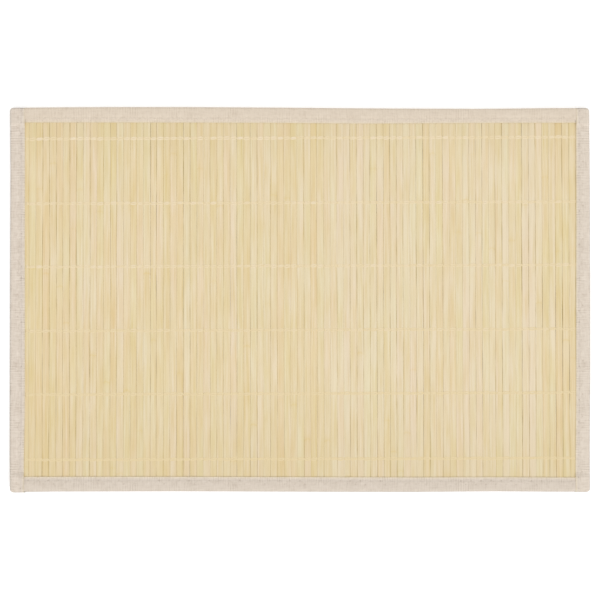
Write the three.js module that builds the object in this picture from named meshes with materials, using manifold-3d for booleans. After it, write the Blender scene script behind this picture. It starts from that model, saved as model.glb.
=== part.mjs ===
// A rectangular placemat of flat bamboo slats, held side by side by rows of warp thread and bound
// all round with doubled cotton tape. Millimetres. X runs along the mat's long side, Y along the
// slats, Z up. The origin is on the surface that the mat rests on, under its middle.
import * as THREE from "three";
import { mergeVertices } from "three/addons/utils/BufferGeometryUtils.js";
import Module from "manifold-3d";

const { lerp, clamp, smoothstep } = THREE.MathUtils;
const { Manifold, Mesh: SolidMesh } = await Module().then((library) => {
  library.setup();
  return library;
});

// Driving dimensions of the pieces. A slat's crown is how far its middle stands above its edges,
// and a groove's share is the part of a slat's width that it takes on each side.
const CLEARANCE = 0.3;
const CLOTH = 1.0;
const SLAT_THICK = 1.5;
const SLAT_LENGTH = 291.6;
const SLAT_CROWN = 0.12;
const SLAT_UNEVEN = 0.12;
const GROOVE_SHARE = 0.05;
const GROOVE_DEPTH = 0.6;
const THREAD_WIDE = 0.9;
const THREAD_HIGH = 0.3;
const THREAD_SIDES = 6;

// Heights above the resting surface, layer by layer. A side tape laps over the ends of the long
// tapes at the corners, so it lies one more layer up there.
const PANEL_LOW = CLOTH + CLEARANCE;
const PANEL_HIGH = PANEL_LOW + SLAT_THICK;
const TAPE_HIGH = PANEL_HIGH + CLEARANCE + CLOTH;
const LAP_HIGH = TAPE_HIGH + CLEARANCE + CLOTH;

// The tapes' folds and corners, the slopes up to the corner laps, how far from the mat's middle
// the long tapes end under the side tapes, and how far a cut runs past what it cuts.
const NOSE_RADIUS = 1.9;
const NOSE_STEPS = 3;
const CORNER_RADIUS = 2.6;
const CORNER_STEPS = 3;
const END_BEVEL = 0.7;
const TAPE_STEP = 25;
const LAP_SLOPE = 6;
const LAP_STEP = 2;
const LAP_REACH = 221.3;
const SEAM_EASE = 1.2;
const CUT_PAST = 5;

// Where the slats' edges lie at their far and near ends, counted from the mat's left. The slats
// fan out a little towards the near side.
const SLAT_EDGES = [
  { edge: 0, far: -219.9, near: -221.0 },
  { edge: 2, far: -209.7, near: -210.6 },
  { edge: 14, far: -147.0, near: -147.5 },
  { edge: 26, far: -85.2, near: -85.4 },
  { edge: 38, far: -23.0, near: -22.5 },
  { edge: 50, far: 38.7, near: 39.5 },
  { edge: 62, far: 100.3, near: 101.4 },
  { edge: 74, far: 161.4, near: 162.7 },
  { edge: 85, far: 218.7, near: 220.2 },
];
const SLAT_COUNT = SLAT_EDGES.at(-1).edge;

// The course of each tape: how far its fold and its inner edge lie from the mat's middle lines.
const FAR_TAPE = [
  { along: -224, fold: 148.9, inner: 137.4 },
  { along: -200, fold: 149.2, inner: 137.4 },
  { along: -150, fold: 149.5, inner: 137.4 },
  { along: -90, fold: 149.5, inner: 137.3 },
  { along: -20, fold: 149.1, inner: 137.1 },
  { along: 50, fold: 148.5, inner: 136.5 },
  { along: 140, fold: 148.1, inner: 137.0 },
  { along: 195, fold: 148.7, inner: 137.1 },
  { along: 224, fold: 148.7, inner: 137.3 },
];
const NEAR_TAPE = [
  { along: -224, fold: 149.3, inner: 137.3 },
  { along: -190, fold: 148.9, inner: 137.3 },
  { along: -90, fold: 148.7, inner: 137.3 },
  { along: 20, fold: 149.1, inner: 137.6 },
  { along: 90, fold: 149.2, inner: 137.8 },
  { along: 150, fold: 148.7, inner: 137.6 },
  { along: 195, fold: 149.0, inner: 137.8 },
  { along: 224, fold: 149.0, inner: 137.9 },
];
const LEFT_TAPE = [
  { along: -149.5, fold: 224.9, inner: 213.9 },
  { along: -125, fold: 225.3, inner: 214.0 },
  { along: -85, fold: 225.2, inner: 213.3 },
  { along: 0, fold: 225.0, inner: 213.2 },
  { along: 50, fold: 224.8, inner: 213.3 },
  { along: 95, fold: 224.6, inner: 213.2 },
  { along: 148.9, fold: 224.9, inner: 213.2 },
];
const RIGHT_TAPE = [
  { along: -149.1, fold: 225.1, inner: 213.8 },
  { along: -115, fold: 225.0, inner: 213.9 },
  { along: -85, fold: 225.2, inner: 214.2 },
  { along: -60, fold: 225.4, inner: 214.3 },
  { along: 0, fold: 225.4, inner: 214.3 },
  { along: 85, fold: 225.1, inner: 214.5 },
  { along: 120, fold: 224.8, inner: 214.3 },
  { along: 148.7, fold: 224.5, inner: 214.3 },
];

// How far each warp row lies from the mat's middle where it meets the left and right tapes.
const WARP_ROWS = [
  { left: 124.8, right: 126.2 },
  { left: 74.5, right: 76.1 },
  { left: 25.5, right: 27.1 },
  { left: -24.2, right: -22.6 },
  { left: -73.6, right: -72.0 },
  { left: -124.2, right: -122.8 },
];

const BAMBOO = new THREE.MeshStandardMaterial({ color: 0xe4d2ac, roughness: 0.6, metalness: 0 });
const COTTON = new THREE.MeshStandardMaterial({ color: 0xdcd0c0, roughness: 0.95, metalness: 0 });
const TWINE = new THREE.MeshStandardMaterial({ color: 0xe9dfc4, roughness: 0.9, metalness: 0 });

// The value of a table's column at a place between two of its rows.
function between(rows, key, at, column) {
  const found = rows.findIndex((row) => row[key] >= at);
  const high = found < 0 ? rows.length - 1 : Math.max(found, 1);
  const [a, b] = [rows[high - 1], rows[high]];
  const share = clamp((at - a[key]) / (b[key] - a[key]), 0, 1);
  return lerp(a[column], b[column], share);
}

// Even steps from low to high, each no longer than step.
function evenSteps(low, high, step) {
  const count = Math.ceil((high - low) / step);
  return Array.from({ length: count + 1 }, (_, i) => low + ((high - low) * i) / count);
}

function solidOf(geometry) {
  geometry.deleteAttribute("normal");
  geometry.deleteAttribute("uv");
  const merged = mergeVertices(geometry, 1e-4);
  return new Manifold(
    new SolidMesh({
      numProp: 3,
      vertProperties: new Float32Array(merged.attributes.position.array),
      triVerts: new Uint32Array(merged.index.array),
    }),
  );
}

function geometryOf(solid) {
  const { vertProperties, triVerts } = solid.getMesh();
  const geometry = new THREE.BufferGeometry();
  geometry.setAttribute("position", new THREE.BufferAttribute(vertProperties, 3));
  geometry.setIndex(new THREE.BufferAttribute(triVerts, 1));
  geometry.computeVertexNormals();
  return geometry;
}

function meshOf(name, geometry, material) {
  const mesh = new THREE.Mesh(geometry, material);
  mesh.name = name;
  return mesh;
}

// A closed solid through a row of convex rings of points. Seen from the row's end the points of
// each ring run anticlockwise, or clockwise where mirrored.
function loft(rings, mirrored) {
  const size = rings[0].length;
  const last = (rings.length - 1) * size;
  const faces = [];
  const add = (a, b, c) => faces.push(...(mirrored ? [a, c, b] : [a, b, c]));
  for (let ring = 0; ring < last; ring += size) {
    for (let p = 0; p < size; p += 1) {
      const q = (p + 1) % size;
      add(ring + p, ring + q, ring + size + q);
      add(ring + p, ring + size + q, ring + size + p);
    }
  }
  for (let p = 1; p + 1 < size; p += 1) {
    add(0, p + 1, p);
    add(last, last + p, last + p + 1);
  }
  const geometry = new THREE.BufferGeometry().setFromPoints(rings.flat());
  geometry.setIndex(faces);
  return solidOf(geometry);
}

// The slats' section, across in slat edges and up from the panel's middle in millimetres. Each
// slat is a little crowned, and an open groove parts it from the next on both faces.
function slatOutline() {
  const face = Array.from({ length: SLAT_COUNT }, (_, slat) => {
    const low = SLAT_UNEVEN * (0.5 + 0.5 * Math.sin(2.4 * slat * slat));
    const crown = SLAT_THICK / 2 - low;
    return [
      [slat, SLAT_THICK / 2 - GROOVE_DEPTH],
      [slat + GROOVE_SHARE, crown - SLAT_CROWN],
      [slat + 0.5, crown],
      [slat + 1 - GROOVE_SHARE, crown - SLAT_CROWN],
    ];
  });
  const top = face.flat().slice(1);
  const bottom = top.toReversed().map(([across, up]) => [across, -up]);
  return [...top, ...bottom].map(([across, up]) => new THREE.Vector2(across, up));
}

// All the slats side by side. The section is drawn straight and then laid between the slats'
// real edges at the far and near ends.
function slatPanel() {
  const shape = new THREE.Shape(slatOutline());
  const geometry = new THREE.ExtrudeGeometry(shape, { depth: 1, steps: 1, bevelEnabled: false });
  const place = geometry.attributes.position;
  for (let i = 0; i < place.count; i += 1) {
    const atNear = place.getZ(i) > 0.5;
    const x = between(SLAT_EDGES, "edge", place.getX(i), atNear ? "near" : "far");
    const y = atNear ? -SLAT_LENGTH / 2 : SLAT_LENGTH / 2;
    place.setXYZ(i, x, y, place.getY(i) + (PANEL_LOW + PANEL_HIGH) / 2);
  }
  return geometryOf(solidOf(geometry));
}

// The section of a folded tape, rounded at its fold and square at its inner edge. Each point is
// how far it lies out from the mat's middle line, and its height.
function foldedSection({ inner, fold, low, high, radius }) {
  const quarter = (middle, from) =>
    Array.from({ length: NOSE_STEPS + 1 }, (_, i) => {
      const angle = from + (i / NOSE_STEPS) * (Math.PI / 2);
      return [fold - radius * (1 - Math.cos(angle)), middle + radius * Math.sin(angle)];
    });
  const nose = [...quarter(low + radius, -Math.PI / 2), ...quarter(high - radius, 0)];
  return [[inner, low], ...nose, [inner, high]];
}

// A folded tape: its outside less the pocket, which is the same form one cloth further in and
// open along the inner edge. A station is a place along the tape, and how far the fold and the
// two faces are drawn in there.
function foldedTape({ rows, outside, pocket, height, place, mirrored }) {
  const ring = ({ along, pull = 0, bevel = 0 }, inset) =>
    foldedSection({
      inner: between(rows, "along", along, "inner") - inset,
      fold: between(rows, "along", along, "fold") - pull - inset,
      low: inset + bevel,
      high: height(along) - inset - bevel,
      radius: NOSE_RADIUS - inset - bevel / 2,
    }).map(([out, up]) => place(along, out, up));
  const solid = (stations, inset) => loft(stations.map((s) => ring(s, inset)), mirrored);
  return solid(outside, 0).subtract(solid(pocket, CLOTH));
}

// Stations from a side tape's near end to its far end, with corners that are round in plan.
function roundedStations(near, far, radius, bevel, middle) {
  const corner = Array.from({ length: CORNER_STEPS }, (_, i) => {
    const angle = ((i + 1) / CORNER_STEPS) * (Math.PI / 2);
    const share = 1 - Math.cos(angle);
    return { back: radius * (1 - Math.sin(angle)), pull: radius * share, bevel: bevel * share };
  });
  return [
    ...corner.toReversed().map(({ back, ...rest }) => ({ along: near + back, ...rest })),
    { along: near + radius },
    ...middle.map((along) => ({ along })),
    { along: far - radius },
    ...corner.map(({ back, ...rest }) => ({ along: far - back, ...rest })),
  ];
}

// A tape down a short side. Near each end it climbs a slope and laps over a long tape's end.
function sideTape(rows, side) {
  const [near, far] = [rows[0].along, rows.at(-1).along];
  const lapStart = (longRows) =>
    between(longRows, "along", side * LAP_REACH, "inner") - 2 * CLEARANCE;
  const [nearLap, farLap] = [lapStart(NEAR_TAPE), lapStart(FAR_TAPE)];
  const height = (along) => {
    const lap = along > 0 ? farLap : nearLap;
    return lerp(TAPE_HIGH, LAP_HIGH, smoothstep(Math.abs(along), lap - LAP_SLOPE, lap));
  };
  const middle = [
    ...evenSteps(-nearLap, LAP_SLOPE - nearLap, LAP_STEP),
    ...evenSteps(LAP_SLOPE - nearLap, farLap - LAP_SLOPE, TAPE_STEP).slice(1, -1),
    ...evenSteps(farLap - LAP_SLOPE, farLap, LAP_STEP),
  ];
  return foldedTape({
    rows,
    outside: roundedStations(near, far, CORNER_RADIUS, END_BEVEL, middle),
    pocket: roundedStations(near + CLOTH, far - CLOTH, CORNER_RADIUS - CLOTH, 0, middle),
    height,
    place: (along, out, up) => new THREE.Vector3(side * out, along, up),
    mirrored: side > 0,
  });
}

// Where a side tape's inner edge crosses a long tape, less the clearance.
function seamAt(longRows, sideRows, longSide) {
  return between(sideRows, "along", longSide * longRows[0].inner, "inner") - CLEARANCE;
}

// The layer under the slats that a long tape leaves to the side tape at a corner.
function cornerCut(rows, sideRows, longSide, side) {
  const seam = seamAt(rows, sideRows, longSide) - CLEARANCE;
  const size = new THREE.Vector3(
    LAP_REACH + CUT_PAST - seam,
    rows[0].fold - rows[0].inner + 2 * CUT_PAST,
    PANEL_LOW + CUT_PAST,
  );
  const geometry = new THREE.BoxGeometry(...size);
  geometry.translate(
    side * (seam + size.x / 2),
    (longSide * (rows[0].fold + rows[0].inner)) / 2,
    PANEL_LOW - size.z / 2,
  );
  return solidOf(geometry);
}

// A tape down a long side. Its fold is drawn in where its ends go under the side tapes.
function longTape(rows, longSide) {
  const end = (sideRows, side) => {
    const tip = Math.abs(longSide > 0 ? sideRows.at(-1).along : sideRows[0].along);
    const seam = seamAt(rows, sideRows, longSide);
    const places = [...evenSteps(seam - SEAM_EASE, seam, SEAM_EASE / 2), LAP_REACH];
    return places.map((out) => {
      const spare = between(rows, "along", side * out, "fold") - (tip - CLOTH - CLEARANCE);
      const share = smoothstep(out, seam - SEAM_EASE, seam);
      return { along: side * out, pull: share * Math.max(spare, 0) };
    });
  };
  const [left, right] = [end(LEFT_TAPE, -1).toReversed(), end(RIGHT_TAPE, 1)];
  const middle = evenSteps(left.at(-1).along, right[0].along, TAPE_STEP).slice(1, -1);
  const outside = [...left, ...middle.map((along) => ({ along })), ...right];
  const past = (station, by) => ({ ...station, along: station.along + by });
  return foldedTape({
    rows,
    outside,
    pocket: [past(outside[0], -CLOTH), ...outside.slice(1, -1), past(outside.at(-1), CLOTH)],
    height: () => TAPE_HIGH,
    place: (along, out, up) => new THREE.Vector3(along, longSide * out, up),
    mirrored: longSide < 0,
  })
    .subtract(cornerCut(rows, LEFT_TAPE, longSide, -1))
    .subtract(cornerCut(rows, RIGHT_TAPE, longSide, 1));
}

// One warp row's flat thread along one face of the slats, from side tape to side tape.
function warpThread(name, { left, right }, height) {
  const start = CLEARANCE - between(LEFT_TAPE, "along", left, "inner");
  const stop = between(RIGHT_TAPE, "along", right, "inner") - CLEARANCE;
  const length = Math.hypot(stop - start, right - left);
  const geometry = new THREE.CylinderGeometry(0.5, 0.5, length, THREAD_SIDES);
  geometry.rotateZ(Math.PI / 2);
  geometry.scale(1, THREAD_WIDE, THREAD_HIGH);
  const thread = meshOf(name, geometry, TWINE);
  thread.position.set((start + stop) / 2, (left + right) / 2, height);
  thread.rotation.z = Math.atan2(right - left, stop - start);
  return thread;
}

function warpThreads() {
  const group = new THREE.Group();
  const above = PANEL_HIGH + CLEARANCE + THREAD_HIGH / 2;
  const below = PANEL_LOW - CLEARANCE - THREAD_HIGH / 2;
  WARP_ROWS.forEach((row, i) => {
    group.add(warpThread(`warp_upper_${i + 1}`, row, above));
    group.add(warpThread(`warp_lower_${i + 1}`, row, below));
  });
  return group;
}

function bindingTapes() {
  const group = new THREE.Group();
  group.add(meshOf("tape_far", geometryOf(longTape(FAR_TAPE, 1)), COTTON));
  group.add(meshOf("tape_near", geometryOf(longTape(NEAR_TAPE, -1)), COTTON));
  group.add(meshOf("tape_left", geometryOf(sideTape(LEFT_TAPE, -1)), COTTON));
  group.add(meshOf("tape_right", geometryOf(sideTape(RIGHT_TAPE, 1)), COTTON));
  return group;
}

const placemat = new THREE.Group();
placemat.add(meshOf("slat_panel", slatPanel(), BAMBOO));
placemat.add(warpThreads());
placemat.add(bindingTapes());

export default placemat;
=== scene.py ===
"""Looks of a bamboo placemat: slats, warp threads, folded cotton tapes and their zigzag sewing.

Lengths in the tables are in millimetres, as in the part's source. Blender's are in metres.
X runs along the mat's long side, Y along the slats towards the far side, Z up.
"""

import math
from functools import partial
from types import SimpleNamespace

import bmesh
import bpy
import numpy as np
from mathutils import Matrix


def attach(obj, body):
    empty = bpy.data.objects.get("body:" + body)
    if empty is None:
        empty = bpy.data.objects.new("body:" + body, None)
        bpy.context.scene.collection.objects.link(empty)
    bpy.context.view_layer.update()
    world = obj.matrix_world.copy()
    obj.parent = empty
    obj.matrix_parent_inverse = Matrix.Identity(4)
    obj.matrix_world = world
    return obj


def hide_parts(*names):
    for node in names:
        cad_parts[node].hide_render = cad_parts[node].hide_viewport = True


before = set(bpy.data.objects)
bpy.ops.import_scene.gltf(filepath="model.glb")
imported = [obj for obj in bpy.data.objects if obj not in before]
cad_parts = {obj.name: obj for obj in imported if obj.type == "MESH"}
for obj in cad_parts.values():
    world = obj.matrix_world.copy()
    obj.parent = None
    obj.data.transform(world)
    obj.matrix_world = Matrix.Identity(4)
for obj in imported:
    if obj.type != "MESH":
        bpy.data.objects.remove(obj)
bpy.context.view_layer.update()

MM = 0.001

# Slats: where their edges lie at the far and near ends, counted from the mat's left.
SLAT_EDGES = (
    # edge, far x, near x
    (0, -219.9, -221.0),
    (2, -209.7, -210.6),
    (14, -147.0, -147.5),
    (26, -85.2, -85.4),
    (38, -23.0, -22.5),
    (50, 38.7, 39.5),
    (62, 100.3, 101.4),
    (74, 161.4, 162.7),
    (85, 218.7, 220.2),
)
SLAT_COUNT = 85
SLAT_LENGTH = 291.6
SLAT_LOW = 1.3
SLAT_HIGH = 2.8
SLAT_STEP = 6.0
SLAT_ROUND = 0.15
SLAT_ROUND_SPREAD = 0.05
SLAT_ROUND_TIGHT = 0.08
SLAT_CROWN = 0.05
EDGE_STRAY = 0.10
EDGE_SWAY = 0.05

# How unevenly the slats lie: how far they sink and bow, in millimetres, how far they roll and
# twist, in radians, and what share of its bow a slat's lower face has.
SLAT_SINK = 0.03
SLAT_BOW = 0.02
SLAT_ROLL = 0.006
SLAT_TWIST = 0.003
UNDER_BOW = 0.5

# Bamboo joints: the share of slats that have one, how far from the middle it may lie, where it is
# put on the others, how strongly it shows and how it bends.
JOINT_SHARE = 0.8
JOINT_REACH = 150
NO_JOINT = 900.0
JOINT_MARK = (0.06, 0.30)
JOINT_CURVE = 0.7

# How far a joint wanders, and where its line and the band round it begin and end, in metres. The
# last value is how strong the band is beside the line.
JOINT_WANDER = 0.003
JOINT_LINE = (0.0002, 0.0009)
JOINT_BAND = (0.0, 0.0045)
BAND_SHARE = 0.5

# The bamboo pattern is read at places of its own: how far apart the slats' are, and how far each
# may be shifted along.
GRAIN_APART = 9.0
GRAIN_SHIFT = 400

# Gaps between slats, each at the slat edge with its number.
GAP_USUAL = 0.02
GAP_SPREAD = 0.02
GAP_TIGHT = 0.015
GAP_LEAST = 0.01
GAP_MOST = 0.5
GAP_SWAY = 1.2
TIGHT_GAPS = (28, 37, 44, 47, 49, 59, 63, 65, 66, 67, 71, 75)
WIDE_GAPS = (
    # edge, middle y, half length, more width
    (12, -105, 22, 0.13),
    (17, -92, 26, 0.14),
    (18, -48, 28, 0.12),
    (20, 98, 26, 0.14),
    (21, 58, 16, 0.14),
    (23, 0, 28, 0.12),
    (24, -92, 40, 0.14),
    (27, -20, 110, 0.06),
    (31, -36, 16, 0.14),
    (34, -105, 16, 0.18),
    (35, 104, 16, 0.12),
    (40, -105, 18, 0.14),
    (40, 12, 30, 0.08),
    (45, -70, 50, 0.07),
    (48, 104, 16, 0.12),
    (53, 104, 16, 0.13),
    (54, 58, 20, 0.16),
    (72, 50, 42, 0.14),
    (78, 58, 22, 0.13),
    (79, 0, 30, 0.18),
    (80, -124, 16, 0.18),
    (81, -10, 26, 0.24),
    (81, -92, 28, 0.25),
    (82, -35, 40, 0.22),
    (83, -58, 26, 0.25),
)

# Rounded corners widen a gap to the eye, so this share of the more width is open. The next value is
# the share of the gap's length that is widest.
WIDE_SHARE = 0.62
WIDE_CORE = 0.55

# How strong the painted shade in the gaps along the slat edges is: the range, how much it sways
# along an edge, the most that the sway makes of it, and the share of it at a tight gap.
GAP_SHADE_RANGE = (0.05, 1.35)
GAP_SHADE_SWAY = 0.85
GAP_SHADE_MOST = 2.4
GAP_SHADE_TIGHT = 0.35

# Slats that are clearly paler or deeper in tone than their neighbours, and how the tone drifts
# across the mat.
PALE_SLATS = (10, 15, 25, 28, 37, 48, 53, 59, 67, 68, 76, 77)
DEEP_SLATS = (14, 17, 24, 26, 41, 50, 55, 61, 63, 72, 75, 79, 81)
TONE_STEP = 0.150
TONE_SPREAD = 0.070
TONE_DRIFT = (
    # slat, tone
    (0, -0.18),
    (6, -0.06),
    (14, 0.0),
    (44, 0.0),
    (50, 0.11),
    (78, 0.18),
    (81, -0.04),
    (85, -0.04),
)

# Where the slats' ends take painted shade towards the far and near tapes, from none to full.
FAR_SHADE = (98, 140)
NEAR_SHADE = (-50, -145)

# Warp rows, far row first: where each meets the left and right tapes, and how pale it is.
WARP_ROWS = (
    # left y, right y, paleness at the left, at the right
    (124.8, 126.2, 0.26, 0.24),
    (74.5, 76.1, 0.20, 0.20),
    (25.5, 27.1, 0.23, 0.19),
    (-24.2, -22.6, 0.11, 0.14),
    (-73.6, -72.0, 0.06, 0.08),
    (-124.2, -122.8, 0.0, 0.0),
)

# A strand of warp: its size, how far apart the two lie, how deep they sink into a slat and dip in a
# gap, how they slant and stray over a slat, how far they run on under a side tape, the places on
# each slat, as shares of its width, that they pass, and the sides of a strand's section.
WARP_RADIUS = 0.62
WARP_FLAT = 0.17
WARP_SPREAD = 1.5
WARP_SINK = 0.15
WARP_DIP = 0.25
WARP_SLANT = 0.4
WARP_STRAY = 0.2
WARP_UNDER_LIP = 0.3
WARP_SHARES = (0.0, 0.06, 0.13, 0.3, 0.5, 0.7, 0.87, 0.94)
WARP_SIDES = 8

# How far a row wanders, and between which shares its paleness and the parting of its strands vary
# from slat to slat.
WARP_WANDER = 0.06
WARP_TONES = (0.5, 1.2)
WARP_PARTING = (0.7, 1.2)

# Tapes: how far each one's fold and inner edge lie from the mat's middle lines.
TAPE_TABLES = {
    "far": (
        # along, fold, inner
        (-224, 148.9, 137.4),
        (-200, 149.2, 137.4),
        (-150, 149.5, 137.4),
        (-90, 149.5, 137.3),
        (-20, 149.1, 137.1),
        (50, 148.5, 136.5),
        (140, 148.1, 137.0),
        (195, 148.7, 137.1),
        (224, 148.7, 137.3),
    ),
    "near": (
        (-224, 149.3, 137.3),
        (-190, 148.9, 137.3),
        (-90, 148.7, 137.3),
        (20, 149.1, 137.6),
        (90, 149.2, 137.8),
        (150, 148.7, 137.6),
        (195, 149.0, 137.8),
        (224, 149.0, 137.9),
    ),
    "left": (
        (-149.5, 224.9, 213.9),
        (-125, 225.3, 214.0),
        (-85, 225.2, 213.3),
        (0, 225.0, 213.2),
        (50, 224.8, 213.3),
        (95, 224.6, 213.2),
        (148.9, 224.9, 213.2),
    ),
    "right": (
        (-149.1, 225.1, 213.8),
        (-115, 225.0, 213.9),
        (-85, 225.2, 214.2),
        (-60, 225.4, 214.3),
        (0, 225.4, 214.3),
        (85, 225.1, 214.5),
        (120, 224.8, 214.3),
        (148.7, 224.5, 214.3),
    ),
}

# A tape's section: its cloth, its height, that on a lap and the climb to it, the roundings of its
# fold and corners, how far its upper lip comes down, and the lips and pocket. The last values are
# the cloth's lengths that the pattern reads, the step along a tape and the seeds.
CLOTH = 0.95
TAPE_HIGH = 4.05
LAP_HIGH = 5.2
LAP_SLOPE = 4.0
LAP_STEP = 0.3
LAP_REACH = 221.3
NOSE = 1.9
CORNER = 2.6
END_ROUND = 1.6
LIP_DROP = {"far": 1.05, "near": 0.80, "left": 1.00, "right": 0.95}
LAP_DROP = 0.90
LIP_SPAN = 2.8
LIP_ROUND = 0.14
LIP_SEAT = 0.03
LIP_LEAST = 0.2
LOW_LIP = 0.22
POCKET_ROUND = 1.0
POCKET_SETTLE = 0.35
FACE_CLOTH = 9.0
NOSE_CLOTH = 3.0
TAPE_STEP = 0.54
TAPE_SEEDS = {"far": 41, "near": 43, "left": 47, "right": 53}

# How much of its climb onto a long tape a side tape's lip makes at once.
LAP_SHARP = 0.3

# Under the side tapes, how far out a long tape's fold is held, and the height that it leaves below
# itself. The pairs say where its fold draws in and its underside lifts, measured from the side
# tape's inner edge.
LAP_FOLD = 146.4
LAP_GAP = 1.04
UNDER_FOLD = (0.8, 2.8)
UNDER_LIFT = (-1.5, 0.2)

# Where a side tape's pocket begins to open, and where it is fully open, from the tape's end.
END_TUCK = (1.0, 2.6)

# Cloth swells beside the needle rows, at a distance from each row and with a half width, and has
# long swells and slanting wrinkles.
PUFF = 0.10
PUFFS = ((-1.6, 0.9), (2.1, 1.8))
SWELL = 0.035
WRINKLE = 0.02
WRINKLE_SLANT = 2.1

# Short creases across a tape: whose, where along it, and between which distances from its inner
# edge.
CREASES = (("near", -209.6, 3.8, 9.6), ("near", 210.8, 3.8, 9.6))
CREASE_DEPTH = 0.14
CREASE_HALF = 0.4

# Zigzag sewing: the distances of its two needle rows from a tape's inner edge, and the length of
# one zigzag along the tape.
NEEDLE_ROWS = {"far": (1.8, 4.6), "near": (2.7, 5.5), "left": (2.7, 5.5), "right": (2.2, 5.0)}
ZIGZAG = {"far": 7.4, "near": 7.8, "left": 8.6, "right": 8.6}

# How deep the thread pulls the cloth down at each row, and the lower face's share of that.
INNER_PULL = 0.34
OUTER_PULL = 0.16
UNDER_PULL = 0.8

# How much the pull varies from hole to hole, how many holes there may be to each side of the
# middle, and what is added to a tape's seed for the draw.
PULL_LEAST = 0.35
PULL_SPREAD = 1.5
PULL_POWER = 2.5
HOLES_PAST_MIDDLE = 40
PULL_SEED = 100

# How deep a needle row is between its holes, as shares: the inner row, the same at a corner, and
# the outer row. The pair says where a long tape's inner row deepens beside the corner.
INNER_CHANNEL = 0.30
CORNER_CHANNEL = 0.75
OUTER_CHANNEL = 0.12
BESIDE_CORNER = (-10, -4)

# Half widths of a needle row, of the pucker along it at a hole, and of the hole, the outer holes'
# share of the inner ones' shade, and the half width and depth of the groove under a zigzag's leg.
ROW_HALF = 0.75
PUCKER_HALF = 0.95
HOLE_HALF = 0.42
OUTER_HOLE = 0.6
LEG_HALF = 0.5
LEG_PRESS = 0.015

# The sewing thread: its size, how far it stands off the cloth, how deep it dives at a hole and
# with what half width, its height on the underside and its rise there at a hole, how far from a
# side tape's end it stops, and its points in half a zigzag.
SEWING_RADIUS = 0.11
SEWING_FLAT = 0.8
SEWING_SIDES = 6
SEWING_STAND = 0.06
SEWING_DIVE = 0.42
DIVE_HALF = 0.45
SEWING_LOW = 0.16
SEWING_RISE = 0.5
SEWING_END = 3.0
SEWING_POINTS = 10

# Colours, as shares of light sent back, from each material's deep tone to its pale one.
BAMBOO_DEEP = (0.680, 0.531, 0.262)
BAMBOO_MIDDLE = (0.703, 0.575, 0.341)
BAMBOO_PALE = (0.724, 0.620, 0.434)
TAPE_DEEP = (0.500, 0.430, 0.350)
TAPE_MIDDLE = (0.615, 0.545, 0.458)
TAPE_PALE = (0.680, 0.610, 0.520)
WARP_DEEP = (0.684, 0.556, 0.328)
WARP_PALE = (0.880, 0.795, 0.765)
SEWING_DEEP = (0.625, 0.555, 0.465)
SEWING_PALE = (0.715, 0.645, 0.555)
FLOOR_WHITE = (0.96, 0.96, 0.96, 1)

# The bamboo's colour is multiplied by the first two in wide clouds, and by the third in streaks.
BAMBOO_ROSY = (1.0, 0.966, 1.0)
BAMBOO_GREEN = (0.978, 1.0, 0.966)
BAMBOO_STREAK = (0.925, 0.925, 0.930)

# Painted shade: the colour that a slat is drawn towards in the gaps at its edges and near the tapes
# at its ends, and how much of it at each.
BAMBOO_SHADE = (0.450, 0.335, 0.125)
GAP_SHADE_SHARE = 0.21
END_SHADE_SHARE = 0.12

# Each tape's colour is multiplied by its tint.
TAPE_TINTS = {
    "far": (1.055, 1.022, 0.985),
    "near": (1.015, 1.002, 1.010),
    "left": (1.045, 1.032, 1.047),
    "right": (1.070, 1.060, 1.066),
}

# How much painted shade each tape's needle holes get, and how strong its uneven tone is.
HOLE_SHADES = {"far": 0.15, "near": 0.9, "left": 0.6, "right": 1.1}
TAPE_UNEVEN = {"far": 0.75, "near": 0.9, "left": 1.25, "right": 1.1}

# Painted shade on each tape along its fold, its needle rows and its lip, as shares, with a painted
# highlight where a share is below zero, how far each shade reaches, and what of each colour it
# takes.
TAPE_SHADES = {
    # fold, inner needle row, outer needle row, lip
    "far": (0.07, 0.04, -0.03, -0.01),
    "near": (0.28, 0.06, 0.0, -0.20),
    "left": (0.28, 0.07, -0.02, 0.03),
    "right": (0.30, 0.03, 0.0, -0.06),
}
FOLD_SHADE_HALF = 0.8
ROW_SHADE_HALF = 0.7
LIP_SHADE_HALF = 1.6
SHADE_TINT = (1.0, 0.96, 0.88)

# Painted bounce light: what the lip loses of each colour, as if lit yellow by the slats beside it,
# and how far in.
LIP_BOUNCE = (0.0, 0.005, 0.10)
BOUNCE_HALF = 0.8

# Weave and twist, in metres: a tape's ribs, its finer threads and its patches of coarse ribs, how
# strong those patches are, and a turn of a thread's plies.
TAPE_RIB = 0.00095
TAPE_THREAD = 0.00048
TAPE_COARSE = 0.0019
COARSE_SHARE = 0.35
THREAD_TWIST = 0.0011

# Light: a white sky, and a soft key light from the near right, tilted from straight above.
SKY_STRENGTH = 1.01
SUN_STRENGTH = 0.95
SUN_WIDE = 20
SUN_TILT = 57
SUN_FROM = -64

# The floor glows a little, as a lit white sweep does, which keeps shadows off it.
FLOOR_GLOW = 0.17
FLOOR_REACH = 4000.0
FLOOR_DROP = 0.1

# Camera: straight above the mat, with the photo's width of view at the mat's face.
VIEW_WIDTH = 465.5
VIEW_MIDDLE = (0.116, -0.233)
CAMERA_HIGH = 1600.0
SENSOR = 36.0


def column(rows, i):
    return [row[i] for row in rows]


def smoothstep(value, low, high):
    share = np.clip((np.asarray(value, float) - low) / (high - low), 0, 1)
    return share * share * (3 - 2 * share)


def even_steps(low, high, step):
    return np.linspace(low, high, max(2, math.ceil((high - low) / step) + 1))


def ripple(rng, at, lengths, size):
    """A smooth seeded wave, a sum of sines of about the given wavelengths."""
    total = np.zeros_like(np.asarray(at, float))
    for length in lengths:
        total += np.sin(2 * np.pi * (at / (length * rng.uniform(0.8, 1.25)) + rng.random()))
    return size * total / math.sqrt(len(lengths) / 2)


def bell(value, half):
    return np.exp(-((value / half) ** 2))


def rows_of(first, second, third):
    """Three values at each point, as one row a point."""
    return np.stack(np.broadcast_arrays(first, second, third), -1).reshape(-1, 3)


# Meshes


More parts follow.
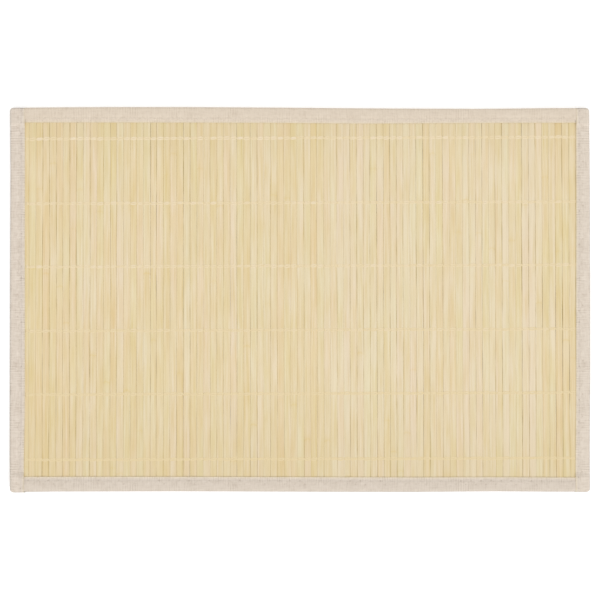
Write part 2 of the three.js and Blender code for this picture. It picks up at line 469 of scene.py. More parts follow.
def loop_faces(rings, size, start=0):
    """Quads between rings of points, and a face over each end."""
    ring = np.arange(rings - 1)[:, None] * size + start
    at = np.arange(size)[None, :]
    after = (at + 1) % size
    quads = np.stack([ring + at, ring + after, ring + size + after, ring + size + at], -1)
    last = start + (rings - 1) * size
    ends = [list(range(start + size - 1, start - 1, -1)), list(range(last, last + size))]
    return quads.reshape(-1, 4).tolist() + ends


def mesh_piece(name, points, faces, material):
    mesh = bpy.data.meshes.new(name)
    mesh.from_pydata((np.asarray(points).reshape(-1, 3) * MM).tolist(), [], faces)
    edit = bmesh.new()
    edit.from_mesh(mesh)
    bmesh.ops.recalc_face_normals(edit, faces=edit.faces)
    edit.to_mesh(mesh)
    edit.free()
    mesh.shade_smooth()
    mesh.materials.append(material)
    piece = bpy.data.objects.new(name, mesh)
    bpy.context.scene.collection.objects.link(piece)
    return piece


def point_data(piece, name, vectors):
    """Keeps three numbers a point on the mesh, which its material reads."""
    kept = piece.data.attributes.new(name, "FLOAT_VECTOR", "POINT")
    kept.data.foreach_set("vector", np.asarray(vectors, np.float32).ravel())


# Material nodes


def put(tree, kind, sockets=None, **properties):
    made = tree.nodes.new("ShaderNode" + kind)
    for name, value in properties.items():
        setattr(made, name, value)
    for name, value in (sockets or {}).items():
        if isinstance(value, bpy.types.NodeSocket):
            tree.links.new(value, made.inputs[name])
        else:
            made.inputs[name].default_value = value
    return made


def calc(tree, operation, first, second=0.0, third=0.0, clamp=False):
    sockets = {0: first, 1: second, 2: third}
    return put(tree, "Math", sockets, operation=operation, use_clamp=clamp).outputs[0]


def wave(tree, along, length):
    """A sine wave of the given wavelength."""
    return calc(tree, "SINE", calc(tree, "MULTIPLY", along, 2 * math.pi / length))


def raised(tree, value):
    """A wave from -1 to 1 as one from 0 to 1."""
    return calc(tree, "MULTIPLY_ADD", value, 0.5, 0.5)


def noise(tree, vector, scale, detail=2.0, roughness=0.5):
    stretched = put(tree, "VectorMath", {0: vector, 1: scale}, operation="MULTIPLY")
    sockets = {"Vector": stretched.outputs[0], "Scale": 1.0, "Detail": detail}
    sockets["Roughness"] = roughness
    return put(tree, "TexNoise", sockets).outputs[0]


def added(tree, first, second, share):
    """The first value plus a share of how far the second lies from one half."""
    off = calc(tree, "MULTIPLY", calc(tree, "SUBTRACT", second, 0.5), share)
    return calc(tree, "ADD", first, off)


def range_of(tree, value, low, high, to_low=0.0, to_high=1.0):
    sockets = {0: value, 1: low, 2: high, 3: to_low, 4: to_high}
    return put(tree, "MapRange", sockets, interpolation_type="SMOOTHSTEP").outputs[0]


def ramp(tree, value, stops):
    node = put(tree, "ValToRGB", {0: value})
    elements = node.color_ramp.elements
    while len(elements) < len(stops):
        elements.new(0.5)
    for element, (place, colour) in zip(elements, stops):
        element.position = place
        element.color = (*colour, 1)
    return node.outputs[0]


def blend_colour(tree, share, first, second, kind="MIX"):
    node = put(tree, "Mix", data_type="RGBA", blend_type=kind)
    for socket, value in ((0, share), (6, first), (7, second)):
        if isinstance(value, bpy.types.NodeSocket):
            tree.links.new(value, node.inputs[socket])
        elif socket:
            node.inputs[socket].default_value = (*value, 1)
        else:
            node.inputs[socket].default_value = value
    return node.outputs[2]


def parts_of(tree, vector):
    return put(tree, "SeparateXYZ", {0: vector}).outputs


def kept_vector(tree, name):
    return put(tree, "Attribute", attribute_name=name).outputs["Vector"]


def new_material(name):
    material = bpy.data.materials.new(name)
    material.use_nodes = True
    tree = material.node_tree
    return material, tree, tree.nodes["Principled BSDF"]


def finish_shader(tree, shader, colour, roughness, height, depth, strength):
    """Joins the colour, the roughness and a bump of the given depth to the shader."""
    tree.links.new(colour, shader.inputs["Base Color"])
    if isinstance(roughness, bpy.types.NodeSocket):
        tree.links.new(roughness, shader.inputs["Roughness"])
    else:
        shader.inputs["Roughness"].default_value = roughness
    bump = put(tree, "Bump", {"Height": height, "Strength": strength, "Distance": depth})
    tree.links.new(bump.outputs[0], shader.inputs["Normal"])


def joint_mark(tree, grain, joint, mark):
    """How much a bamboo joint darkens a slat: most on a thin line, less in a band round it, and
    below zero elsewhere."""
    wavy = added(tree, joint, noise(tree, grain, (400, 60, 400), 2), JOINT_WANDER)
    distance = calc(tree, "ABSOLUTE", wavy)
    off_line = range_of(tree, distance, *JOINT_LINE)
    off_band = calc(tree, "MULTIPLY", range_of(tree, distance, *JOINT_BAND), BAND_SHARE)
    dark = calc(tree, "SUBTRACT", calc(tree, "SUBTRACT", 1.0, off_line), off_band)
    return calc(tree, "MULTIPLY", dark, mark)


def bamboo_material():
    """Split bamboo: long fibres, a drifting tone, painted shade in the gaps and near the tapes, and
    a joint on most slats.
    """
    material, tree, shader = new_material("bamboo")
    grain = kept_vector(tree, "grain")
    tone, joint, mark = parts_of(tree, kept_vector(tree, "finish"))
    edge, end, _ = parts_of(tree, kept_vector(tree, "edges"))
    cloud = noise(tree, grain, (110, 32, 110), 2)
    fibre = noise(tree, grain, (950, 26, 950), 4, 0.6)
    fine = noise(tree, grain, (3800, 70, 3800), 2)
    value = added(tree, tone, cloud, 1.0)
    value = added(tree, value, fibre, 1.7)
    value = added(tree, value, fine, 0.40)
    joints = joint_mark(tree, grain, joint, mark)
    value = calc(tree, "SUBTRACT", value, joints, clamp=True)
    stops = ((0.0, BAMBOO_DEEP), (0.5, BAMBOO_MIDDLE), (1.0, BAMBOO_PALE))
    colour = ramp(tree, value, stops)
    hue = ramp(tree, noise(tree, grain, (75, 9, 75), 2), ((0.3, BAMBOO_ROSY), (0.7, BAMBOO_GREEN)))
    colour = blend_colour(tree, 1.0, colour, hue, "MULTIPLY")
    streaks = ramp(tree, fibre, ((0.3, BAMBOO_STREAK), (0.7, (1.0, 1.0, 1.0))))
    colour = blend_colour(tree, 1.0, colour, streaks, "MULTIPLY")
    # Painted shade: darker in the gaps along the slat edges, and towards the tapes at the slats'
    # ends.
    colour = blend_colour(tree, calc(tree, "MULTIPLY", edge, GAP_SHADE_SHARE), colour, BAMBOO_SHADE)
    colour = blend_colour(tree, calc(tree, "MULTIPLY", end, END_SHADE_SHARE), colour, BAMBOO_SHADE)
    roughness = range_of(tree, fibre, 0.2, 0.8, 0.42, 0.58)
    height = added(tree, fibre, fine, 0.6)
    height = added(tree, height, joints, 1.2)
    finish_shader(tree, shader, colour, roughness, height, 0.00006, 0.5)
    return material


def tape_material():
    """Woven cotton tape: fine ribs across it, finer threads along it, and painted shade at its
    needle holes.
    """
    material, tree, shader = new_material("cotton_tape")
    across, along, holes = parts_of(tree, kept_vector(tree, "cloth"))
    strength, _, _ = parts_of(tree, kept_vector(tree, "unevenness"))
    flat = put(tree, "CombineXYZ", {0: across, 1: along}).outputs[0]
    uneven = noise(tree, flat, (700, 260, 1), 2)
    rib = wave(tree, added(tree, along, uneven, 0.0005), TAPE_RIB)
    thread = wave(tree, added(tree, across, uneven, 0.0004), TAPE_THREAD)
    coarse = wave(tree, added(tree, along, uneven, 0.0008), TAPE_COARSE)
    weave = calc(tree, "ADD", calc(tree, "MULTIPLY", rib, 0.6), calc(tree, "MULTIPLY", thread, 0.4))
    slub = noise(tree, flat, (160, 900, 1), 3)
    streak = noise(tree, flat, (1000, 130, 1), 3)
    mottle = noise(tree, flat, (150, 90, 1), 3)
    patchy = range_of(tree, noise(tree, flat, (60, 45, 1), 1), 0.45, 0.65, 0.0, COARSE_SHARE)
    value = added(tree, 0.5, mottle, 0.5)
    value = added(tree, value, slub, 1.1)
    value = added(tree, value, streak, 0.8)
    value = added(tree, value, raised(tree, coarse), patchy)
    value = added(tree, value, raised(tree, weave), 0.12)
    value = added(tree, 0.5, value, strength)
    # Painted shade at the needle holes.
    value = calc(tree, "SUBTRACT", value, holes, clamp=True)
    stops = ((0.0, TAPE_DEEP), (0.5, TAPE_MIDDLE), (1.0, TAPE_PALE))
    colour = ramp(tree, value, stops)
    # The tint carries each tape's own tint together with its painted shade, highlight and bounce
    # light.
    colour = blend_colour(tree, 1.0, colour, kept_vector(tree, "tint"), "MULTIPLY")
    height = calc(tree, "ADD", weave, calc(tree, "MULTIPLY", slub, 0.8))
    finish_shader(tree, shader, colour, 0.92, height, 0.00010, 0.6)
    shader.inputs["Sheen Weight"].default_value = 0.08
    shader.inputs["Sheen Roughness"].default_value = 0.5
    shader.inputs["Specular IOR Level"].default_value = 0.25
    return material


def thread_material(name, deep, pale):
    """Spun cotton thread: two plies that wind round it, and a tone kept on its points."""
    material, tree, shader = new_material(name)
    length, around, tone = parts_of(tree, kept_vector(tree, "twist"))
    turns = calc(tree, "MULTIPLY", length, 2 * math.pi / THREAD_TWIST)
    plies = calc(tree, "SINE", calc(tree, "ADD", turns, calc(tree, "MULTIPLY", around, 2.0)))
    spot = put(tree, "CombineXYZ", {0: length, 1: around}).outputs[0]
    fuzz = noise(tree, spot, (900, 1.5, 1), 3)
    value = added(tree, tone, fuzz, 0.3)
    value = added(tree, value, raised(tree, plies), 0.15)
    colour = ramp(tree, value, ((0.0, deep), (1.0, pale)))
    finish_shader(tree, shader, colour, 0.88, plies, 0.00005, 0.6)
    shader.inputs["Specular IOR Level"].default_value = 0.25
    return material


# Slats


def edge_lines(rng, stations):
    """Each slat edge's x along the stations, the width of the gap there, and its corner radius."""
    count = SLAT_COUNT + 1
    number = np.arange(count)
    far = np.interp(number, column(SLAT_EDGES, 0), column(SLAT_EDGES, 1))
    near = np.interp(number, column(SLAT_EDGES, 0), column(SLAT_EDGES, 2))
    share = (SLAT_LENGTH / 2 - stations) / SLAT_LENGTH
    lines = far[:, None] + (near - far)[:, None] * share
    gaps = np.zeros_like(lines)
    rounds = SLAT_ROUND + rng.uniform(-SLAT_ROUND_SPREAD, SLAT_ROUND_SPREAD, count)
    rounds[list(TIGHT_GAPS)] = SLAT_ROUND_TIGHT
    for edge in range(count):
        lines[edge] += rng.normal(0, EDGE_STRAY) + ripple(rng, stations, (150, 320), EDGE_SWAY)
        usual = GAP_TIGHT if edge in TIGHT_GAPS else rng.normal(GAP_USUAL, GAP_SPREAD)
        sway = ripple(rng, stations, (25, 45, 90), GAP_SWAY * max(usual, GAP_TIGHT))
        gaps[edge] = usual + sway
    for edge, middle, half, more in WIDE_GAPS:
        widened = smoothstep(abs(stations - middle), half, WIDE_CORE * half)
        gaps[edge] += WIDE_SHARE * more * widened
    return lines, np.clip(gaps, GAP_LEAST, GAP_MOST), rounds


def slat_section():
    """The section's points: share of the half width, share of the corner radius, whether each is
    on top, and the drop from its face in corner radii."""
    corner = [math.radians(a) for a in (0, 45, 90)]
    right_top = [(1.0, math.cos(a), 1, 1 - math.sin(a)) for a in corner]
    inside = [(share, 0.0, 1, 0.0) for share in (0.84, 0.4, 0.0, -0.4, -0.84)]
    left_top = [(-s, -c, up, drop) for s, c, up, drop in reversed(right_top)]
    top = right_top + inside + left_top
    below = [(s, c, 0, drop) for s, c, up, drop in reversed(top) if abs(s) in (1.0, 0.0)]
    return np.array(top + below)


def slat_tones(rng):
    numbers = np.arange(SLAT_COUNT)
    tones = 0.5 + rng.normal(0, TONE_SPREAD, SLAT_COUNT)
    tones += np.interp(numbers, column(TONE_DRIFT, 0), column(TONE_DRIFT, 1))
    tones[list(PALE_SLATS)] += TONE_STEP
    tones[list(DEEP_SLATS)] -= TONE_STEP
    return tones


def painted_gap_shade(rng, stations, edge):
    """How strong the painted shade in the gap is along one slat edge."""
    gap_shade = rng.uniform(*GAP_SHADE_RANGE)
    gap_shade = gap_shade * np.clip(1 + ripple(rng, stations, (20, 55, 120), GAP_SHADE_SWAY), 0, GAP_SHADE_MOST)
    return gap_shade * (GAP_SHADE_TIGHT if edge in TIGHT_GAPS else 1)


def slats(material):
    """All the slats as one piece, with the edge lines, face heights and stations they follow."""
    rng = np.random.default_rng(11)
    stations = even_steps(-SLAT_LENGTH / 2, SLAT_LENGTH / 2, SLAT_STEP)
    lines, gaps, rounds = edge_lines(rng, stations)
    tones = slat_tones(rng)
    gap_shade = [painted_gap_shade(rng, stations, edge) for edge in range(SLAT_COUNT + 1)]
    # Painted shade towards the tapes at the slats' ends.
    end = smoothstep(stations, *FAR_SHADE) + smoothstep(stations, *NEAR_SHADE)
    section = slat_section()
    share, bend, on_top, drop = section.T
    at_edge = np.abs(share) == 1
    points, faces, tops, grain, finish, edges = [], [], [], [], [], []
    for slat in range(SLAT_COUNT):
        left = lines[slat] + gaps[slat] / 2
        right = lines[slat + 1] - gaps[slat + 1] / 2
        middle, half = (left + right) / 2, (right - left) / 2
        corner = np.where(share < 0, rounds[slat], rounds[slat + 1])
        out = (half[:, None] - corner) * share + corner * bend
        roll = rng.normal(0, SLAT_ROLL) + ripple(rng, stations, (90, 210), SLAT_TWIST)
        bow = ripple(rng, stations, (110, 260), SLAT_BOW) - abs(rng.normal(0, SLAT_SINK))
        face = np.where(on_top > 0, SLAT_HIGH - SLAT_CROWN * share**2, SLAT_LOW)
        up = face + np.where(on_top > 0, -drop, drop) * corner
        up = up + bow[:, None] * np.where(on_top > 0, 1, UNDER_BOW) + roll[:, None] * out
        along = stations[:, None]
        points.append(rows_of(middle[:, None] + out, along, up))
        faces += loop_faces(len(stations), len(section), slat * out.size)
        tops.append(SLAT_HIGH + bow)
        shifted = along + rng.uniform(0, GRAIN_SHIFT)
        grain.append(rows_of(out + slat * GRAIN_APART, shifted, up) * MM)
        joint = rng.uniform(-JOINT_REACH, JOINT_REACH) if rng.random() < JOINT_SHARE else NO_JOINT
        from_joint = along - joint + JOINT_CURVE * share**2
        finish.append(rows_of(tones[slat], from_joint * MM, rng.uniform(*JOINT_MARK)))
        # Painted shade in the gap, kept on the points at each slat edge.
        edge_shade = at_edge * np.where(share < 0, gap_shade[slat][:, None], gap_shade[slat + 1][:, None])
        edges.append(rows_of(edge_shade, end[:, None], 0.0))
    piece = mesh_piece("slats", np.concatenate(points), faces, material)
    point_data(piece, "grain", np.concatenate(grain))
    point_data(piece, "finish", np.concatenate(finish))
    point_data(piece, "edges", np.concatenate(edges))
    return piece, lines, np.array(tops), stations


# Threads


def tube(path, radius, flat, sides):
    """Rings of points round a path that bends little to the sides, flattened in height."""
    ahead = np.gradient(path, axis=0)
    ahead /= np.linalg.norm(ahead, axis=1, keepdims=True)
    side = np.cross(ahead, (0, 0, 1))
    side /= np.linalg.norm(side, axis=1, keepdims=True)
    above = np.cross(side, ahead)
    angle = 2 * np.pi * np.arange(sides)[:, None] / sides
    ring = np.cos(angle) * side[:, None] + flat * np.sin(angle) * above[:, None]
    return path[:, None] + radius * ring


def thread_piece(name, paths, tones, radius, flat, sides, material):
    """Threads of one kind as one piece. Each has a tone, or a tone for each ring."""
    points, faces, twist = [], [], []
    start = 0
    around = 2 * np.pi * np.arange(sides) / sides
    for path, tone in zip(paths, tones):
        rings = tube(path, radius, flat, sides)
        points.append(rings.reshape(-1, 3))
        faces += loop_faces(len(path), sides, start)
        start += len(path) * sides
        step = np.linalg.norm(np.diff(path, axis=0), axis=1)
        length = np.concatenate([[0], np.cumsum(step)]) * MM
        twist.append(rows_of(length[:, None], around, np.reshape(tone, (-1, 1))))
    piece = mesh_piece(name, np.concatenate(points), faces, material)
    point_data(piece, "twist", np.concatenate(twist))
    return piece


def warp_pair(rng, row, lines, tops, stations, upper):
    """A warp row's two strands with their tones. They part over each slat and meet in each gap."""
    left, right, left_pale, right_pale = row
    start = -WARP_UNDER_LIP - tape_place("left", left, 2)
    stop = WARP_UNDER_LIP + tape_place("right", right, 2)
    middle = (left + right) / 2
    edges = np.array([np.interp(middle, stations, line) for line in lines])
    faces = np.array([np.interp(middle, stations, top) for top in tops])[:, None]
    share = np.array(WARP_SHARES)
    x = edges[:-1, None] + np.diff(edges)[:, None] * share
    in_gap = share == 0
    stray = rng.uniform(-WARP_STRAY, WARP_STRAY, faces.shape)
    off = np.where(in_gap, 0, WARP_SLANT * (share - 0.5) + stray)
    y = np.interp(x, (start, stop), (left, right)) + ripple(rng, x, (26, 70), WARP_WANDER) + off
    crown = SLAT_CROWN * (2 * share - 1) ** 2
    above = np.where(in_gap, -WARP_DIP, WARP_RADIUS * WARP_FLAT - WARP_SINK - crown)
    z = faces + above if upper else SLAT_LOW + UNDER_BOW * (faces - SLAT_HIGH) - above
    fade = np.clip((stop - x) / (stop - start), 0, 1) ** 2
    arch = np.sin(math.pi * share) ** 0.5
    pale = right_pale + (left_pale - right_pale) * fade
    # Painted shade: the arch lowers the tone towards each gap, where the strands dip between the
    # slats.
    tone = pale * rng.uniform(*WARP_TONES, faces.shape) * arch
    kept = (x > start) & (x < stop)
    spread = WARP_SPREAD * arch * rng.uniform(*WARP_PARTING, faces.shape)
    strands = [np.stack([x, y + half * spread, z], -1)[kept] for half in (-0.5, 0.5)]
    return strands, [tone[kept], tone[kept]]


def warp_threads(name, lines, tops, stations, upper, material):
    """The six rows of warp on one face."""
    rng = np.random.default_rng(23 if upper else 29)
    paths, tones = [], []
    for row in WARP_ROWS:
        strands, strand_tones = warp_pair(rng, row, lines, tops, stations, upper)
        paths += strands
        tones += strand_tones
    return thread_piece(name, paths, tones, WARP_RADIUS, WARP_FLAT, WARP_SIDES, material)


# Tapes


def tape_place(side, along, which):
    """The tape's fold (1) or inner edge (2) at a place along it."""
    rows = TAPE_TABLES[side]
    return np.interp(along, column(rows, 0), column(rows, which))


def on_mat(side, along, out, up):
    """A tape's own coordinates as rows of x, y, z."""
    x, y = {
        "far": (along, out),
        "near": (along, -out),
        "left": (-out, along),
        "right": (out, along),
    }[side]
    return rows_of(x, y, up)


def is_long(side):
    return side in ("far", "near")


def past_long(side, along):
    """How far past a long tape's inner edge a place along a side tape lies."""
    far, near = (TAPE_TABLES[long][0 if side == "left" else -1][2] for long in ("far", "near"))
    return np.abs(along) - np.where(np.asarray(along) > 0, far, near)


def lap_share(side, along):
    """How far a side tape has climbed onto the long tape at a corner, from 0 to 1."""
    if is_long(side):
        return np.zeros_like(along, float)
    return smoothstep(past_long(side, along), -LAP_SLOPE, 0)


def zigzag_out(side, along):
    """How far from the inner edge the sewing lies, a wave between the two needle rows."""
    inner, outer = NEEDLE_ROWS[side]
    phase = np.abs((along / ZIGZAG[side]) % 1 - 0.5) * 2
    return outer + (inner - outer) * phase


def needle_pull(side, along, shift):
    """How hard the thread pulls at the nearest needle hole, drawn once for each hole."""
    rng = np.random.default_rng(TAPE_SEEDS[side] + PULL_SEED)
    pulls = PULL_LEAST + PULL_SPREAD * rng.random(2 * HOLES_PAST_MIDDLE) ** PULL_POWER
    hole = np.floor(along / ZIGZAG[side] + shift).astype(int)
    return pulls[hole + HOLES_PAST_MIDDLE]


def needle_depth(side, along, into):
    """How deep the sewing pulls the cloth down, and how close each point is to a needle hole."""
    inner_row, outer_row = NEEDLE_ROWS[side]
    length = ZIGZAG[side]
    lap = lap_share(side, along)
    from_inner = ((along / length + 0.5) % 1 - 0.5) * length
    from_outer = ((along / length) % 1 - 0.5) * length
    if is_long(side):
        lap = smoothstep(np.abs(along) - seam_at(side, along), *BESIDE_CORNER)
    channel = INNER_CHANNEL + (CORNER_CHANNEL - INNER_CHANNEL) * lap
    at_inner = needle_pull(side, along, 0.5)
    at_outer = needle_pull(side, along, 0.0)
    inner = channel + (1 - channel) * at_inner * bell(from_inner, PUCKER_HALF)
    inner = inner * bell(into - inner_row, ROW_HALF)
    outer = OUTER_CHANNEL + (1 - OUTER_CHANNEL) * at_outer * bell(from_outer, PUCKER_HALF)
    outer = outer * bell(into - outer_row, ROW_HALF)
    leg = bell(into - zigzag_out(side, along), LEG_HALF)
    inner_hole = at_inner * bell(into - inner_row, HOLE_HALF) * bell(from_inner, HOLE_HALF)
    outer_hole = at_outer * bell(into - outer_row, HOLE_HALF) * bell(from_outer, HOLE_HALF)
    depth = INNER_PULL * inner + OUTER_PULL * outer + LEG_PRESS * leg
    return depth, inner_hole + OUTER_HOLE * outer_hole


def crease_depth(side, along, into):
    """The short creases across a tape beside its corners."""
    depth = np.zeros(np.broadcast(along, into).shape)
    for crease_side, place, low, high in CREASES:
        if side == crease_side:
            reach = smoothstep(into, low - 1, low) * smoothstep(into, high + 1, high)
            depth = depth + CREASE_DEPTH * reach * bell(along - place, CREASE_HALF)
    return depth


def top_height(side, along, out):
    """The height of the tape's upper face, and the closeness to needle holes there."""
    into = out - tape_place(side, along, 2)
    lap = lap_share(side, along)
    high = TAPE_HIGH + (LAP_HIGH - TAPE_HIGH) * lap
    drop = LIP_DROP[side] + (LAP_DROP - LIP_DROP[side]) * lap
    drop = drop * (1 - smoothstep(into, 0, LIP_SPAN))
    depth, hole = needle_depth(side, along, into)
    rows = zip(NEEDLE_ROWS[side], PUFFS)
    puff = PUFF * sum(bell(into - row - off, half) for row, (off, half) in rows)
    rng = np.random.default_rng(TAPE_SEEDS[side])
    swell = ripple(rng, along, (19, 43, 90), SWELL)
    wrinkle = ripple(rng, along + WRINKLE_SLANT * out, (13, 24), WRINKLE)
    down = drop + depth + crease_depth(side, along, into)
    return high - down + puff + swell + wrinkle, hole


def tape_stations(side):
    """Places along a tape, and the angle that its rounded end has turned through at each."""
    rows = TAPE_TABLES[side]
    if is_long(side):
        along = even_steps(-LAP_REACH, LAP_REACH, TAPE_STEP)
        return along, np.zeros(len(along))
    near, far = rows[0][0], rows[-1][0]
    angle = np.radians(np.arange(0, 91, 10))
    ends = CORNER * (1 - np.sin(angle))
    middle = even_steps(near + CORNER, far - CORNER, TAPE_STEP)[1:-1]
    along = np.concatenate([near + ends[::-1], middle, far - ends])
    rounded = np.concatenate([angle[::-1], np.zeros(len(middle)), angle])
    return along, rounded


def seam_at(side, along):
    """Where a long tape goes under the side tape's inner edge, from the mat's middle."""
    corner = TAPE_TABLES[side][0][2] * (1 if side == "far" else -1)
    left, right = (tape_place(other, corner, 2) for other in ("left", "right"))
    return np.where(np.asarray(along) < 0, left, right)


def tape_course(side):
    """What changes along a tape: its edges, height, and how its ends close or go under."""
    along, rounded = tape_stations(side)
    course = SimpleNamespace(side=side, along=along)
    course.inner = tape_place(side, along, 2)
    course.fold = tape_place(side, along, 1) - CORNER * (1 - np.cos(rounded))
    course.squeeze = END_ROUND * (1 - np.cos(rounded))
    course.tuck = np.zeros(len(along))
    course.lift = np.zeros(len(along))
    if is_long(side):
        past_seam = np.abs(along) - seam_at(side, along)
        over = np.maximum(course.fold - LAP_FOLD, 0)
        course.fold = course.fold - smoothstep(past_seam, *UNDER_FOLD) * over
        course.lift = smoothstep(past_seam, *UNDER_LIFT)
    else:
        end = np.where(along < 0, along - along[0], along[-1] - along)
        course.tuck = 1 - smoothstep(end, *END_TUCK)
    course.width = course.fold - course.inner
    course.high = TAPE_HIGH + (LAP_HIGH - TAPE_HIGH) * lap_share(side, along)
    course.nose = np.minimum(NOSE, course.width / 2)
    return course


# Each part of the folded section gives how far out its points lie, their height, how far round
# the cloth they are, and how close to a needle hole. The share runs from 0 to 1 along the part.


def face_out(course, share):
    return course.inner + LIP_ROUND + share * (course.width - course.nose - LIP_ROUND)


def under_part(course, share):
    out = face_out(course, share)
    depth, hole = needle_depth(course.side, course.along, out - course.inner)
    rise = LOW_LIP * (1 - smoothstep(out - course.inner, 0, LIP_SPAN))
    return out, rise + UNDER_PULL * depth + course.squeeze, share * FACE_CLOTH, hole


def nose_part(course, share):
    angle = math.pi * (share - 0.5)
    out = course.fold - course.nose * (1 - math.cos(angle))
    up = course.high / 2 + (course.high / 2 - course.squeeze) * math.sin(angle)
    return out, up, FACE_CLOTH + NOSE_CLOTH * share, 0.0


def over_part(course, share):
    out = face_out(course, share)
    up, hole = top_height(course.side, course.along, out)
    return out, up - course.squeeze, FACE_CLOTH * (2 - share) + NOSE_CLOTH, hole


def lip_heights(course):
    """The upper lip's lower and upper edges. It lies on the slats, or at a lap on a long tape."""
    top, _ = top_height(course.side, course.along, course.inner + LIP_ROUND)
    seat = SLAT_HIGH + LIP_SEAT
    if not is_long(course.side):
        past = past_long(course.side, course.along)
        at_once = smoothstep(past, -LAP_STEP, LAP_STEP)
        slowly = smoothstep(past, 0, LIP_SPAN)
        climb = LAP_SHARP * at_once + (1 - LAP_SHARP) * slowly
        seat = seat + (TAPE_HIGH - SLAT_HIGH) * climb
    return np.minimum(seat, top - LIP_LEAST) - course.squeeze, top - course.squeeze


def lip_part(course, share):
    angle = math.pi * (0.5 - share)
    out = course.inner + LIP_ROUND * (1 - math.cos(angle))
    low, high = lip_heights(course)
    up = (low + high) / 2 + (high - low) / 2 * math.sin(angle)
    return out, up, 2 * FACE_CLOTH + NOSE_CLOTH + share, 0.0


def low_lip_part(course, share):
    angle = math.pi * (0.5 - share)
    out = course.inner + LIP_ROUND * (1 - math.cos(angle))
    up = LOW_LIP + CLOTH / 2 * (1 + math.sin(angle)) + course.squeeze
    return out, up, share - 1, 0.0


def pocket_faces(course):
    """The heights of the pocket's two faces, which meet where the end is closed."""
    low = np.minimum(CLOTH + course.squeeze, course.high / 2)
    high = np.maximum(course.high - CLOTH - course.squeeze, course.high / 2)
    return low, high


def pocket_part(course, share, kind):
    low, high = pocket_faces(course)
    deep = (course.width - LIP_ROUND - CLOTH) * (1 - course.tuck)
    out = course.inner + LIP_ROUND + share * (deep - POCKET_ROUND)
    settle = smoothstep(share, 0, POCKET_SETTLE)
    if kind == "over":
        lip, _ = lip_heights(course)
        up = lip + (high - lip) * settle
    if kind == "under":
        lip = LOW_LIP + CLOTH + course.squeeze
        up = lip + (low - lip) * settle
    if kind == "nose":
        angle = math.pi * (0.5 - share)
        reach = POCKET_ROUND * (1 - course.tuck) * math.cos(angle)
        out = course.inner + LIP_ROUND + deep - POCKET_ROUND + reach
        up = (low + high) / 2 + (high - low) / 2 * math.sin(angle)
    up = up + course.tuck * (course.high / 2 - up)
    return out, up, 2 * FACE_CLOTH + NOSE_CLOTH + 1 + share * FACE_CLOTH, 0.0


def tape_section(course):
    """The folded section's parts in turn, each at its shares."""
    quarter = np.array([0.25, 0.5, 0.75])
    parts = (
        (under_part, np.linspace(0, 1, 9)),
        (nose_part, np.linspace(0, 1, 11)[1:-1]),
        (over_part, np.append(np.linspace(1, 0.05, 24), (0.02, 0))),
        (lip_part, quarter),
        (partial(pocket_part, kind="over"), np.linspace(0, 1, 5)),
        (partial(pocket_part, kind="nose"), quarter),
        (partial(pocket_part, kind="under"), np.linspace(1, 0, 5)),
        (low_lip_part, quarter),
    )
    return [part(course, share) for part, shares in parts for share in shares]


def tape_tint_and_shade(course, out):
    """The tape's colour share at each point: its tint, with painted shade along its fold and needle
    rows, painted shade or highlight at the lip, and a little painted yellow bounce light there from
    the slats beside it."""
    fold, inner_row, outer_row, lip = TAPE_SHADES[course.side]
    into = out - course.inner
    rim = course.fold - out
    if not is_long(course.side):
        ends = np.minimum(course.along - course.along[0], course.along[-1] - course.along)
        rim = np.minimum(rim, ends)
    # Painted shade along the fold and needle rows; at the lip painted shade, or a painted highlight
    # below zero.
    shade = fold * bell(rim, FOLD_SHADE_HALF) + lip * bell(into, LIP_SHADE_HALF)
    for row, share in zip(NEEDLE_ROWS[course.side], (inner_row, outer_row)):
        shade = shade + share * bell(into - row, ROW_SHADE_HALF)
    # Painted yellow bounce light at the lip.
    dim = shade[:, None] * SHADE_TINT + bell(into, BOUNCE_HALF)[:, None] * LIP_BOUNCE
    return np.array(TAPE_TINTS[course.side]) * (1 - dim)


def folded_tape(side, material):
    course = tape_course(side)
    points, cloth, tint = [], [], []
    for out, up, across, hole in tape_section(course):
        tint.append(tape_tint_and_shade(course, out))
        under_lap = LAP_GAP + np.clip(up, 0, None) * (SLAT_LOW - LAP_GAP) / SLAT_LOW
        up = np.where(up < SLAT_LOW, up + course.lift * (under_lap - up), up)
        points.append(on_mat(side, course.along, out, up))
        cloth.append(rows_of(across * MM, course.along * MM, hole * HOLE_SHADES[side]))
    points = np.stack(points, 1)
    faces = loop_faces(*points.shape[:2])
    piece = mesh_piece("folded_tape_" + side, points.reshape(-1, 3), faces, material)
    point_data(piece, "cloth", np.stack(cloth, 1).reshape(-1, 3))
    point_data(piece, "tint", np.stack(tint, 1).reshape(-1, 3))
    point_data(piece, "unevenness", np.full(points.shape, TAPE_UNEVEN[side]))
    return piece


def sewing(side, material):
    """One thread zigzags along the tape's upper face and one along its lower face."""
    rows = TAPE_TABLES[side]
    if is_long(side):
        start, stop = -seam_at(side, -1), seam_at(side, 1)
    else:
        start, stop = rows[0][0] + SEWING_END, rows[-1][0] - SEWING_END
    half = ZIGZAG[side] / 2
    first, last = math.ceil(start / half) * half, math.floor(stop / half) * half
    along = np.linspace(first, last, round((last - first) / half) * SEWING_POINTS + 1)
    into = zigzag_out(side, along)
    out = tape_place(side, along, 2) + into
    from_needle = np.abs((along / half + 0.5) % 1 - 0.5) * half
    dive = bell(from_needle, DIVE_HALF)
    top, _ = top_height(side, along, out)
    over = on_mat(side, along, out, top + SEWING_STAND - SEWING_DIVE * dive)
    under = on_mat(side, along, out, SEWING_LOW + SEWING_RISE * dive)
    name = "sewing_" + side
    return thread_piece(
        name, (over, under), (0.5, 0.5), SEWING_RADIUS, SEWING_FLAT, SEWING_SIDES, material
    )


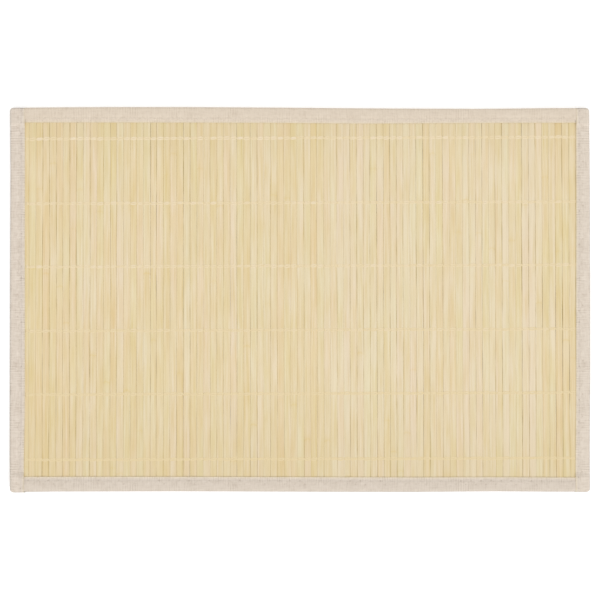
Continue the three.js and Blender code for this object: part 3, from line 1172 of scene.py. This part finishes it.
def placemat():
    bamboo = bamboo_material()
    tape_cloth = tape_material()
    warp_yarn = thread_material("warp_thread", WARP_DEEP, WARP_PALE)
    sewing_yarn = thread_material("sewing_thread", SEWING_DEEP, SEWING_PALE)

    slat_piece, lines, tops, stations = slats(bamboo)
    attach(slat_piece, "root")
    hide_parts("slat_panel")

    for face in ("upper", "lower"):
        name = "warp_" + face
        piece = warp_threads(name, lines, tops, stations, face == "upper", warp_yarn)
        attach(piece, "root")
        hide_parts(*(f"{name}_{row + 1}" for row in range(len(WARP_ROWS))))

    for side in TAPE_TABLES:
        tape = folded_tape(side, tape_cloth)
        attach(tape, "root")
        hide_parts("tape_" + side)
        stitches = sewing(side, sewing_yarn)
        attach(stitches, "root")


# Stage


def floor():
    material, tree, shader = new_material("floor")
    shader.inputs["Base Color"].default_value = FLOOR_WHITE
    shader.inputs["Roughness"].default_value = 1.0
    shader.inputs["Specular IOR Level"].default_value = 0.0
    shader.inputs["Emission Color"].default_value = (1, 1, 1, 1)
    shader.inputs["Emission Strength"].default_value = FLOOR_GLOW
    turns = ((-1, -1), (1, -1), (1, 1), (-1, 1))
    corners = [(x * FLOOR_REACH, y * FLOOR_REACH, -FLOOR_DROP) for x, y in turns]
    mesh_piece("floor", corners, [[0, 1, 2, 3]], material)


def lights():
    world = bpy.data.worlds.new("studio")
    world.use_nodes = True
    background = world.node_tree.nodes["Background"]
    background.inputs["Color"].default_value = (1, 1, 1, 1)
    background.inputs["Strength"].default_value = SKY_STRENGTH
    bpy.context.scene.world = world
    sun = bpy.data.lights.new("key", "SUN")
    sun.energy = SUN_STRENGTH
    sun.angle = math.radians(SUN_WIDE)
    key = bpy.data.objects.new("key", sun)
    bpy.context.scene.collection.objects.link(key)
    key.rotation_euler = (0, math.radians(SUN_TILT), math.radians(SUN_FROM))


def camera():
    data = bpy.data.cameras.new("camera")
    data.sensor_width = SENSOR
    data.lens = SENSOR * CAMERA_HIGH / VIEW_WIDTH
    eye = bpy.data.objects.new("camera", data)
    eye.location = (VIEW_MIDDLE[0] * MM, VIEW_MIDDLE[1] * MM, (CAMERA_HIGH + SLAT_HIGH) * MM)
    bpy.context.scene.collection.objects.link(eye)
    bpy.context.scene.camera = eye


placemat()
floor()
lights()
camera()
bpy.context.scene.view_settings.view_transform = "Standard"
